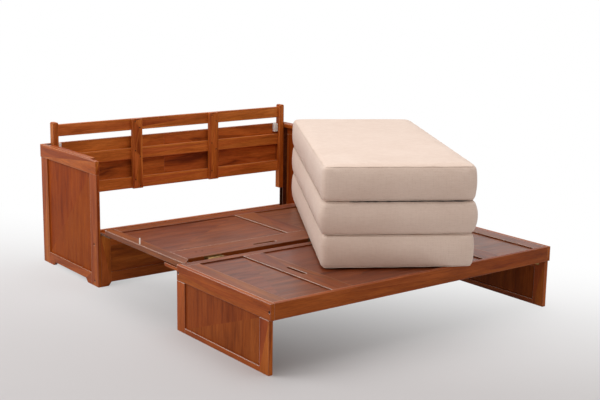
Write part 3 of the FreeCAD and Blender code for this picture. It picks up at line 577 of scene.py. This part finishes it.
@dataclass
class Platform:
    """Rear deck with its carriers, front deck with aprons, and leg panels."""

    dresser: Dresser
    leg_stile: float = 0.066
    deck_light: Colour = (0.285, 0.074, 0.018)
    deck_middle: Colour = (0.195, 0.043, 0.009)
    deck_dark: Colour = (0.115, 0.023, 0.005)
    rail_light: Colour = (0.34, 0.090, 0.019)
    rail_middle: Colour = (0.245, 0.057, 0.010)

    def deck(self, name: str, axis: GrainAxis, seed: float) -> StainedWood:
        """A finish for a glossier board of the deck's frames."""
        # Deck boards get the paler painted edge highlight.
        return StainedWood(name, axis, light=self.rail_light, middle=self.rail_middle,
                           dark=self.deck_dark, gloss=0.34, coat=0.12, shine=0.14, seed=seed,
                           **STRONG_EDGE_HIGHLIGHT)

    def deck_panel(self, name: str, seed: float) -> StainedWood:
        """A finish for the deck's flat veneered panels."""
        return StainedWood(name, GrainAxis.ACROSS, light=self.deck_light, middle=self.deck_middle,
                           dark=self.deck_dark, figure=1.5, gloss=0.34, coat=0.16, shine=0.20,
                           seed=seed)

    def leg_zone(self, node: str) -> GrainZone:
        """The part of a leg frame between its stiles."""
        low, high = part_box(node)
        return GrainZone((low.x - 1, low.y + self.leg_stile, -1.0),
                         (high.x + 1, high.y - self.leg_stile, 1.0), GrainAxis.DEPTH)

    def build(self) -> None:
        """Dress every platform node."""
        self.dress_decks()
        self.dress_aprons_and_legs()
        self.dress_fittings()

    def dress_decks(self) -> None:
        """Dress the boards of both decks, and the peg."""
        dress = self.dresser.dress
        across, depth, _ = GrainAxis
        dress(["rear_deck_rear_rail", "rear_deck_front_rail"],
              self.deck("lacquered rear deck rails", across, 31.1))
        dress(["rear_deck_centre_stile"], self.deck("lacquered centre stile", depth, 32.2))
        dress(["rear_deck_end_stile_left"], self.deck("lacquered left arm", depth, 33.3))
        dress(["rear_deck_end_stile_right"], self.deck("lacquered right arm", depth, 34.4))
        dress(["rear_deck_panels"], self.deck_panel("veneered rear deck panels", 35.5))
        self.dresser.wood(["rear_deck_arm_blocks"], "lacquered arm blocks", depth, seed=36.6)
        dress(["rear_deck_peg"], MouldedNylon())
        dress(["front_deck_rear_rail"], self.deck("lacquered front deck rail", across, 37.7))
        dress(["front_deck_end_stiles", "front_deck_middle_stiles"],
              self.deck("lacquered front deck stiles", depth, 38.8))
        dress(["front_deck_panels"], self.deck_panel("veneered front deck panels", 39.9))

    def dress_aprons_and_legs(self) -> None:
        """Dress the aprons, the leg frames and their panels."""
        wood = self.dresser.wood
        across, depth, upright = GrainAxis
        wood(["front_deck_front_apron"], "lacquered front apron", across,
             light=(0.44, 0.110, 0.022), middle=(0.34, 0.072, 0.011), seed=41.2)
        # The end aprons get the paler painted edge highlight.
        wood(both("front_deck_end_apron"), "lacquered end aprons", depth,
             light=(0.52, 0.130, 0.022), middle=(0.40, 0.084, 0.011), seed=42.3, **STRONG_EDGE_HIGHLIGHT)
        wood(["front_deck_rear_apron"], "plain rear apron", across, coat=0.15, seed=43.4)
        # The leg frames get the paler painted edge highlight.
        for index, leg in enumerate(both("leg_frame")):
            wood([leg], f"lacquered {leg} wood", upright, zone=self.leg_zone(leg),
                 seed=44.5 + index, **STRONG_EDGE_HIGHLIGHT)
        wood(both("leg_panel"), "veneered leg panels", upright, figure=1.6,
             light=(0.40, 0.100, 0.018), middle=(0.33, 0.074, 0.012), dark=(0.23, 0.046, 0.007),
             coat=0.0, shine=0.06, seed=47.8)

    def dress_fittings(self) -> None:
        """Dress the carriers, hinges and bolts."""
        dress = self.dresser.dress
        dress(both("deck_carrier"), WorkedMetal("bronzed carrier steel", (0.24, 0.125, 0.070),
                                                (0.14, 0.070, 0.040), 0.45, GrainAxis.UPRIGHT))
        brass = WorkedMetal("dull hinge brass", (0.34, 0.20, 0.075), (0.15, 0.085, 0.030), 0.46)
        dress(["fold_hinge_arms", "fold_hinge_knuckles", "leg_hinge_apron_leaves"], brass)
        dress(both("leg_hinge_leaves"), brass)
        dress(["apron_bolts"], WorkedMetal("blackened bolt metal", *BLACKENED))


@dataclass
class DeckPlugs:
    """Two dark wooden plugs over screws in the rear deck's front rail."""

    dresser: Dresser
    rail: str = "rear_deck_front_rail"
    radius: float = 0.0055
    rise: float = 0.0003
    depth: float = 0.002
    ease: float = 0.0003
    inset: float = 0.081
    places: tuple[float, ...] = (0.100, 0.135)

    def build(self) -> None:
        """Set the plugs in the rail's top face."""
        low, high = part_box(self.rail)
        # The plugs get no painted edge highlight.
        stain = StainedWood("dark plug wood", GrainAxis.ACROSS, light=(0.16, 0.045, 0.012),
                            middle=(0.10, 0.026, 0.007), dark=(0.06, 0.016, 0.005),
                            highlight_strength=0.0, seed=51.7)
        for number, place in enumerate(self.places, 1):
            centre = Vector((low.x + place, low.y + self.inset,
                             high.z + self.rise - self.depth / 2))
            maker = bmesh.new()
            bmesh.ops.create_cone(maker, cap_ends=True, segments=40, radius1=self.radius,
                                  radius2=self.radius, depth=self.depth,
                                  matrix=Matrix.Translation(centre))
            upper = [edge for edge in maker.edges
                     if all(vertex.co.z > centre.z for vertex in edge.verts)]
            bmesh.ops.bevel(maker, geom=upper, offset=self.ease, segments=2, profile=0.6,
                            affect="EDGES")
            mesh = bpy.data.meshes.new(f"rear_deck_plug_{number}")
            maker.to_mesh(mesh)
            maker.free()
            plug = bpy.data.objects.new(mesh.name, mesh)
            bpy.context.scene.collection.objects.link(plug)
            plug.data.materials.append(self.dresser.finish(stain))
            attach(plug, "rear_deck")
            LOG.info("set %s", plug.name)


# ----------------------------------------------------------------------- mattress
@dataclass
class MattressSection:
    """One foam section of the folded mattress, crowned, with sewn edges."""

    node: str
    body: str
    seed: float
    width: float = 0.689
    length: float = 1.540
    middle: tuple[float, float] = (0.3430, 0.758)
    height: float = 0.1523
    corner: tuple[float, float] = (-0.4259297, -0.7639955)
    turn: float = math.radians(-31.2)
    plan_radius: float = 0.028
    top_radius: float = 0.009
    under_radius: float = 0.009
    top_crown: float = 0.001
    under_crown: float = 0.001
    swelling: float = 0.0
    lean: float = 0.45
    bulge: float = 0.006
    near_bulge: float = 0.002
    taper: float = 0.015
    gap_shadowed: bool = False
    cell: float = 0.0125
    puff_limit: float = 0.006
    base: float = field(init=False)

    def __post_init__(self) -> None:
        """Take the height of the underside from the CAD solid."""
        self.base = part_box(self.node)[0].z

    @property
    def half(self) -> Vector:
        """Half the section's sizes, with a little fulness over the CAD solid."""
        return Vector((self.width / 2, self.length / 2, self.height / 2))

    def depth_and_way(self, x: float, y: float) -> tuple[float, float, float]:
        """Distance in from the rounded outline, and the outward direction there.

        Args:
            x: Place across the section, from its middle.
            y: Place along the section, from its middle.

        Returns:
            The distance in from the outline and the direction's two parts.
        """
        half = self.half
        qx = abs(x) - (half.x - self.plan_radius)
        qy = abs(y) - (half.y - self.plan_radius)
        if qx > 0 and qy > 0:
            reach = math.hypot(qx, qy)
            return (self.plan_radius - reach, math.copysign(qx / reach, x),
                    math.copysign(qy / reach, y))
        if qx > qy:
            return self.plan_radius - qx, math.copysign(1.0, x), 0.0
        return self.plan_radius - qy, 0.0, math.copysign(1.0, y)

    def corner_round(self, x: float, y: float) -> tuple[float, float]:
        """Move a point of the square corner into the round one.

        Args:
            x: Place across the section, from its middle.
            y: Place along the section, from its middle.

        Returns:
            The moved place.
        """
        half = self.half
        qx = abs(x) - (half.x - self.plan_radius)
        qy = abs(y) - (half.y - self.plan_radius)
        if qx <= 0 or qy <= 0:
            return x, y
        scale = max(qx, qy) / math.hypot(qx, qy)
        return (math.copysign(half.x - self.plan_radius + qx * scale, x),
                math.copysign(half.y - self.plan_radius + qy * scale, y))

    def shaped(self, point: Vector) -> tuple[Vector, float]:
        """Bring a point of the plain block onto the sewn form.

        Args:
            point: The point on the block, from its middle.

        Returns:
            The shaped point, and how near it lies to a seam, from 0 to 1.
        """
        half = self.half
        upper = point.z > 0
        r = self.top_radius if upper else self.under_radius
        crown = self.top_crown if upper else self.under_crown
        x, y = self.corner_round(point.x, point.y)
        inward, wx, wy = self.depth_and_way(x, y)
        down = half.z - abs(point.z)
        if inward < r and down < r:
            a, b = r - inward, r - down
            reach = math.hypot(a, b)
            new_in, new_down = r - r * a / reach, r - r * b / reach
            x -= wx * (new_in - inward)
            y -= wy * (new_in - inward)
            inward, down = new_in, new_down
        rounded = inward < r and down < r
        seam = max(0.0, 1.0 - abs(inward - down) / SEAM_REACH) if rounded else 0.0
        mid_x = max(0.0, 1.0 - (x / half.x) ** 2)
        mid_y = max(0.0, 1.0 - (y / half.y) ** 2)
        rise = (mid_x ** 0.45) * (mid_y ** 0.30)
        tilt = self.swelling * (1.0 - self.lean * point.y / half.y) * (point.z / half.z)
        sink = crown * (1.0 - rise) * max(0.0, 1.0 - down / CROWN_REACH)
        z = (tilt if upper else 0.0) + math.copysign(half.z - down - sink, point.z)
        wall = max(0.0, 1.0 - inward / WALL_REACH)
        fulness = self.bulge + self.near_bulge * abs(wx) * (1.0 - y / half.y) / 2
        swell = fulness * (1.0 - (point.z / half.z) ** 2)
        x += wx * wall * swell
        y += wy * wall * swell
        wrinkle = noise.noise(Vector((x * 9.0 + self.seed, y * 7.0, z * 22.0))) * WRINKLE_HEIGHT
        fold = noise.noise(Vector((x * 30.0, y * 30.0 + self.seed, z * 45.0))) * FOLD_HEIGHT
        dip = SEAM_DIP * seam
        x -= wx * (dip + wall * abs(wrinkle + fold))
        y -= wy * (dip + wall * abs(wrinkle + fold))
        z -= math.copysign(dip + (1.0 - wall) * abs(wrinkle) * 0.8, z)
        return Vector((self.narrowed(x, y), y, z)), seam

    def narrowed(self, x: float, y: float) -> float:
        """Draw the left side in towards the far end."""
        half = self.half
        return x + self.taper * (1.0 - x / half.x) / 2 * (1.0 + y / half.y) / 2

    def to_row(self) -> Matrix:
        """Places the section's middle on the platform."""
        middle = Vector((*self.middle, 0.0))
        turned = Matrix.Rotation(self.turn, 4, "Z") @ Matrix.Translation(middle)
        return Matrix.Translation(Vector((*self.corner, self.base + self.height / 2))) @ turned

    def block(self) -> tuple[bpy.types.Object, list[float]]:
        """Mesh the section as a shaped grid.

        Returns:
            The piece and each vertex's nearness to a seam.
        """
        half = self.half
        counts = [max(4, round(2 * size / self.cell)) for size in half]
        mesh_maker = bmesh.new()
        known: dict[tuple[int, int, int], bmesh.types.BMVert] = {}
        seams: list[float] = []

        def vertex(i: int, j: int, k: int) -> bmesh.types.BMVert:
            """The grid vertex with these counts."""
            if (i, j, k) not in known:
                plain = Vector([half[axis] * (2 * n / counts[axis] - 1)
                                for axis, n in enumerate((i, j, k))])
                place, seam = self.shaped(plain)
                known[(i, j, k)] = mesh_maker.verts.new(place)
                seams.append(seam)
            return known[(i, j, k)]

        for fixed in range(3):
            a, b = [axis for axis in range(3) if axis != fixed]
            for end in (0, counts[fixed]):
                for m in range(counts[a]):
                    for n in range(counts[b]):
                        ring = []
                        for da, db in ((0, 0), (1, 0), (1, 1), (0, 1)):
                            index = [0, 0, 0]
                            index[fixed], index[a], index[b] = end, m + da, n + db
                            ring.append(vertex(*index))
                        mesh_maker.faces.new(ring)
        bmesh.ops.recalc_face_normals(mesh_maker, faces=mesh_maker.faces)
        mesh = bpy.data.meshes.new(self.node + "_cover")
        mesh_maker.to_mesh(mesh)
        mesh_maker.free()
        for polygon in mesh.polygons:
            polygon.use_smooth = True
        piece = bpy.data.objects.new(self.node + "_cover", mesh)
        bpy.context.scene.collection.objects.link(piece)
        return piece, seams

    def puff(self, piece: bpy.types.Object, seams: Sequence[float]) -> None:
        """Blow the cover up a little between its pinned seams, as cloth.

        Args:
            piece: The section's mesh, about its middle.
            seams: Nearness of each vertex to a seam.
        """
        group = piece.vertex_groups.new(name="sewn")
        for index, seam in enumerate(seams):
            group.add([index], min(1.0, 0.15 + seam), "REPLACE")
        before = [vertex.co.copy() for vertex in piece.data.vertices]
        cloth = piece.modifiers.new("puff", "CLOTH")
        cloth.settings.quality = 4
        cloth.settings.mass = 0.4
        cloth.settings.use_pressure = True
        cloth.settings.uniform_pressure_force = PUFF_PRESSURE
        cloth.settings.vertex_group_mass = group.name
        cloth.settings.effector_weights.gravity = 0.0
        cloth.collision_settings.use_collision = False
        scene = bpy.context.scene
        for number in range(1, PUFF_FRAMES + 1):
            scene.frame_set(number)
        swollen = piece.evaluated_get(bpy.context.evaluated_depsgraph_get()).to_mesh()
        moved = [vertex.co.copy() for vertex in swollen.vertices]
        piece.modifiers.remove(cloth)
        scene.frame_set(1)
        for vertex, old, new in zip(piece.data.vertices, before, moved):
            step = new - old
            if step.length > self.puff_limit:
                step.length = self.puff_limit
            place = old + step
            tilt = self.swelling * (1.0 - self.lean * place.y / self.half.y)
            ceiling = self.half.z + tilt
            place.z = max(-self.half.z, min(ceiling, place.z))
            vertex.co = place
        piece.vertex_groups.clear()

    def trim(self, name: str, thickness: float, points: Sequence[Vector],
             closed: bool) -> bpy.types.Object:
        """A round trim along a line of points.

        Args:
            name: What the piece's name adds to the section's.
            thickness: The trim's radius.
            points: Places from the section's middle.
            closed: Whether the line runs round to its start.

        Returns:
            The curve piece.
        """
        curve = bpy.data.curves.new(f"{self.node}_{name}", "CURVE")
        curve.dimensions = "3D"
        curve.bevel_depth = thickness
        curve.bevel_resolution = 2
        line = curve.splines.new("POLY")
        line.points.add(len(points) - 1)
        for target, point in zip(line.points, points):
            target.co = (*point, 1.0)
        line.use_cyclic_u = closed
        piece = bpy.data.objects.new(curve.name, curve)
        bpy.context.scene.collection.objects.link(piece)
        return piece

    def welt(self, edge: Edge) -> bpy.types.Object:
        """The sewn welt that runs round one edge of the section.

        Args:
            edge: The upper or the lower edge.

        Returns:
            The curve piece.
        """
        half = self.half
        upper = edge is Edge.UPPER
        radius = self.top_radius if upper else self.under_radius
        crown = self.top_crown if upper else self.under_crown
        inset = radius * 0.30
        lift = edge.value * (half.z - crown - inset - 0.0002) + (self.swelling if upper else 0.0)
        points = []
        for n in range(WELT_POINTS):
            angle = 2 * math.pi * n / WELT_POINTS
            ray = Vector((math.cos(angle), math.sin(angle)))
            reach = min(half.x / max(abs(ray.x), 1e-6), half.y / max(abs(ray.y), 1e-6))
            x, y = self.corner_round(ray.x * reach, ray.y * reach)
            _, wx, wy = self.depth_and_way(x, y)
            waver = 0.0006 * math.sin(angle * 37.0 + self.seed)
            slope = -self.swelling * self.lean * y / half.y if upper else 0.0
            points.append(Vector((self.narrowed(x - wx * inset, y), y - wy * inset,
                                  lift + slope + waver)))
        return self.trim(f"{edge.name.lower()}_welt", WELT_RADIUS, points, True)

    def binding(self) -> bpy.types.Object:
        """A dark strip along the near end's upper edge, a painted shadow of the gap under the
        section above.

        Returns:
            The curve piece, thicker and thinner along its line.
        """
        half = self.half
        points, radii = [], []
        for n in range(GAP_SHADOW_STEPS + 1):
            x = half.x * (-0.66 + 1.58 * n / GAP_SHADOW_STEPS)
            waver = 0.0012 * noise.noise(Vector((x * 22.0, self.seed, 0.0)))
            points.append(Vector((self.narrowed(x, -half.y), -half.y - 0.0008,
                                  half.z + 0.0004 + waver)))
            thin = 0.75 + 0.45 * noise.noise(Vector((x * 40.0, 3.0, self.seed)))
            ends = min(1.0, 0.3 + n / 8, 0.3 + (GAP_SHADOW_STEPS - n) / 8)
            radii.append(min(1.0, max(0.25, thin)) * ends)
        piece = self.trim("binding", GAP_SHADOW_RADIUS, points, False)
        for target, radius in zip(piece.data.splines[0].points, radii):
            target.radius = radius
        return piece

    def build(self, cover: bpy.types.Material, sewing: bpy.types.Material,
              gap_shadow_material: bpy.types.Material) -> None:
        """Make the section with its welts, and set it on its body.

        Args:
            cover: Material of the cover.
            sewing: Material of the welts.
            gap_shadow_material: Material of the dark strip of painted gap shadow.
        """
        piece, seams = self.block()
        self.puff(piece, seams)
        piece.data.transform(self.to_row())
        piece.data.materials.append(cover)
        smooth = piece.modifiers.new("smooth", "SUBSURF")
        smooth.levels = 1
        smooth.render_levels = 1
        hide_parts(self.node)
        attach(piece, self.body)
        LOG.info("built %s with %d vertices", piece.name, len(piece.data.vertices))
        trims = [(self.welt(edge), sewing) for edge in Edge]
        # The dark strip is painted gap shadow.
        if self.gap_shadowed:
            trims.append((self.binding(), gap_shadow_material))
        for trim, material in trims:
            trim.data.transform(self.to_row())
            trim.data.materials.append(material)
            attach(trim, self.body)
            LOG.info("sewed %s", trim.name)


@dataclass
class Mattress:
    """Three sections folded on one another."""

    dresser: Dresser

    def build(self) -> None:
        """Build the three sections from the platform up."""
        cover = self.dresser.finish(WovenCover())
        sewing = self.dresser.finish(WovenCover("beige welt cord", (0.84, 0.70, 0.60),
                                                (0.70, 0.565, 0.47), 0.0011))
        # Painted gap shadow: a dark strip in place of the shade between the middle and top
        # sections.
        gap_shadow_material = self.dresser.finish(WovenCover("dark strip of painted gap shadow", (0.035, 0.026, 0.022),
                                              (0.018, 0.013, 0.011), 0.0011))
        sections = (MattressSection("mattress_bottom", "mattress_base", 1.3),
                    # The middle section carries the painted gap shadow strip.
                    MattressSection("mattress_middle", "mattress_mid", 5.7, near_bulge=0.014,
                                    gap_shadowed=True),
                    MattressSection("mattress_top", "mattress_lid", 9.1, top_radius=0.017,
                                    top_crown=0.007, swelling=0.010, near_bulge=0.003))
        for section in sections:
            section.build(cover, sewing, gap_shadow_material)


# -------------------------------------------------------------- floor, light, camera
@dataclass(frozen=True)
class SoftBox:
    """One soft lamp of the studio."""

    name: str
    place: tuple[float, float, float]
    width: float
    height: float
    watts: float
    tint: Colour = WHITE

    def hang(self, aim: Vector) -> None:
        """Hang the lamp.

        Args:
            aim: The place that it points at.
        """
        data = bpy.data.lights.new(self.name, "AREA")
        data.shape = "RECTANGLE"
        data.size, data.size_y = self.width, self.height
        data.energy = self.watts
        data.color = self.tint
        lamp = bpy.data.objects.new(self.name, data)
        lamp.location = self.place
        lamp.rotation_mode = "QUATERNION"
        lamp.rotation_quaternion = (aim - Vector(self.place)).to_track_quat("-Z", "Y")
        bpy.context.scene.collection.objects.link(lamp)
        LOG.info("hung %s", self.name)


@dataclass
class Studio:
    """Pale floor and soft studio light."""

    size: float = 60.0
    floor_light: Colour = (0.575, 0.562, 0.572)
    floor_dip: float = 0.985
    fade_start: float = 3.95
    fade_end: float = 6.75
    fade_slant: float = 0.35
    far_start: float = 3.4
    far_end: float = 6.0
    ambient: float = 0.50
    air_tint: Colour = (1.0, 0.945, 0.895)
    aim: tuple[float, float, float] = (0.0, -0.1, 0.3)
    lamps: tuple[SoftBox, ...] = (
        SoftBox("soft box over the left back", (-3.6, 1.6, 3.6), 3.0, 3.0, 97.0),
        SoftBox("soft box overhead", (0.3, -0.4, 4.4), 3.6, 3.6, 80.0),
        SoftBox("weak front fill", (-2.5, -5.5, 2.6), 3.0, 2.4, 19.0, (1.0, 0.86, 0.77)))

    def seen(self, sheet_tree: bpy.types.NodeTree) -> bpy.types.NodeSocket:
        """Tell the rays that may show the plain white background.

        Args:
            sheet_tree: The node tree to work in.

        Returns:
            1 for such a ray, and 0 for any other.
        """
        path = sheet_tree.nodes.new("ShaderNodeLightPath")
        total = path.outputs["Is Camera Ray"]
        for name in ("Is Glossy Ray", "Is Transmission Ray"):
            step = sheet_tree.nodes.new("ShaderNodeMath")
            step.operation = "MAXIMUM"
            sheet_tree.links.new(total, step.inputs[0])
            sheet_tree.links.new(path.outputs[name], step.inputs[1])
            total = step.outputs[0]
        return total

    def floor(self, eye: "Eye") -> None:
        """Lay the floor, which turns white behind the bed and far from it.

        Args:
            eye: The camera, whose place sets where the floor fades.
        """
        bpy.ops.mesh.primitive_plane_add(size=self.size, location=(0.0, 0.0, -0.0002))
        plane = bpy.context.object
        plane.name = "studio_floor"
        sheet = ShaderSheet("pale studio floor")
        place = sheet.node("ShaderNodeNewGeometry").outputs["Position"]
        ahead = Vector((math.sin(eye.yaw), math.cos(eye.yaw), 0.0))
        way = ahead + self.fade_slant * Vector((ahead.y, -ahead.x, 0.0))
        start = eye.place.x * way.x + eye.place.y * way.y
        behind = sheet.spread(sheet.dot(place, tuple(way)), start + self.fade_start,
                              start + self.fade_end, 0.0, 1.0, "SMOOTHSTEP")
        reach = sheet.node("ShaderNodeVectorMath", {0: place}, operation="LENGTH").outputs["Value"]
        far = sheet.spread(reach, self.far_start, self.far_end, 0.0, 1.0, "SMOOTHSTEP")
        amount = sheet.math("MULTIPLY", sheet.math("MAXIMUM", behind, far), self.seen(sheet.tree))
        glow = sheet.node("ShaderNodeEmission", {"Color": (*WHITE, 1.0), "Strength": 1.0})
        mix = sheet.node("ShaderNodeMixShader", {0: amount})
        darker = tuple(part * self.floor_dip for part in self.floor_light)
        tones = ((0.3, darker), (0.7, self.floor_light))
        sheet.set(Base_Color=sheet.ramp(sheet.noise(place, 1.4, 3.0), tones), Roughness=0.75)
        sheet.tree.links.new(sheet.shader.outputs[0], mix.inputs[1])
        sheet.tree.links.new(glow.outputs[0], mix.inputs[2])
        sheet.tree.links.new(mix.outputs[0], sheet.output.inputs[0])
        plane.data.materials.append(sheet.material)
        LOG.info("laid the studio floor")

    def world(self) -> None:
        """White for the eye, and an even low light for the object."""
        world = bpy.data.worlds.new("studio air")
        world.use_nodes = True
        tree = world.node_tree
        air = tree.nodes["Background"]
        air.inputs[0].default_value = (*self.air_tint, 1.0)
        air.inputs[1].default_value = self.ambient
        white = tree.nodes.new("ShaderNodeBackground")
        white.inputs[0].default_value = (*WHITE, 1.0)
        mix = tree.nodes.new("ShaderNodeMixShader")
        tree.links.new(self.seen(tree), mix.inputs[0])
        tree.links.new(air.outputs[0], mix.inputs[1])
        tree.links.new(white.outputs[0], mix.inputs[2])
        tree.links.new(mix.outputs[0], tree.nodes["World Output"].inputs[0])
        bpy.context.scene.world = world

    def build(self, eye: "Eye") -> None:
        """Set up the floor, the lamps and the world."""
        self.floor(eye)
        for lamp in self.lamps:
            lamp.hang(Vector(self.aim))
        self.world()


@dataclass
class Eye:
    """The camera, at the photograph's viewing angle."""

    place: Vector = field(default_factory=lambda: Vector((-3.4700, -4.6001, 1.6609)))
    yaw: float = 0.65
    pitch: float = -0.21
    roll: float = 0.015
    focal_pixels: float = 1133.746
    image_width: int = 600
    sensor: float = 36.0

    def build(self) -> None:
        """Make the camera and let the scene look through it."""
        level = math.cos(self.pitch)
        ahead = Vector((math.sin(self.yaw) * level, math.cos(self.yaw) * level,
                        math.sin(self.pitch)))
        right = Vector((math.cos(self.yaw), -math.sin(self.yaw), 0.0))
        over = right.cross(ahead)
        side = right * math.cos(self.roll) + over * math.sin(self.roll)
        top = over * math.cos(self.roll) - right * math.sin(self.roll)
        data = bpy.data.cameras.new("eye")
        data.sensor_width = self.sensor
        data.lens = self.focal_pixels * self.sensor / self.image_width
        data.clip_start, data.clip_end = 0.1, 200.0
        camera = bpy.data.objects.new("eye", data)
        turn = Matrix((side, top, -ahead)).transposed().to_4x4()
        camera.matrix_world = Matrix.Translation(self.place) @ turn
        bpy.context.scene.collection.objects.link(camera)
        bpy.context.scene.camera = camera
        LOG.info("placed the camera")


def write_sizes() -> None:
    """Bring the view layer up to date.
    """
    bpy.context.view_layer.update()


def main() -> None:
    """Build the whole scene in order."""
    logging.basicConfig(level=logging.INFO, format="%(name)s: %(message)s")
    bpy.context.scene.view_settings.view_transform = "Standard"
    eye = Eye()
    eye.build()
    dresser = Dresser()
    Cabinet(dresser).build()
    Headboard(dresser).build()
    Platform(dresser).build()
    DeckPlugs(dresser).build()
    Mattress(dresser).build()
    Studio().build(eye)
    write_sizes()


if __name__ == "__main__":
    main()
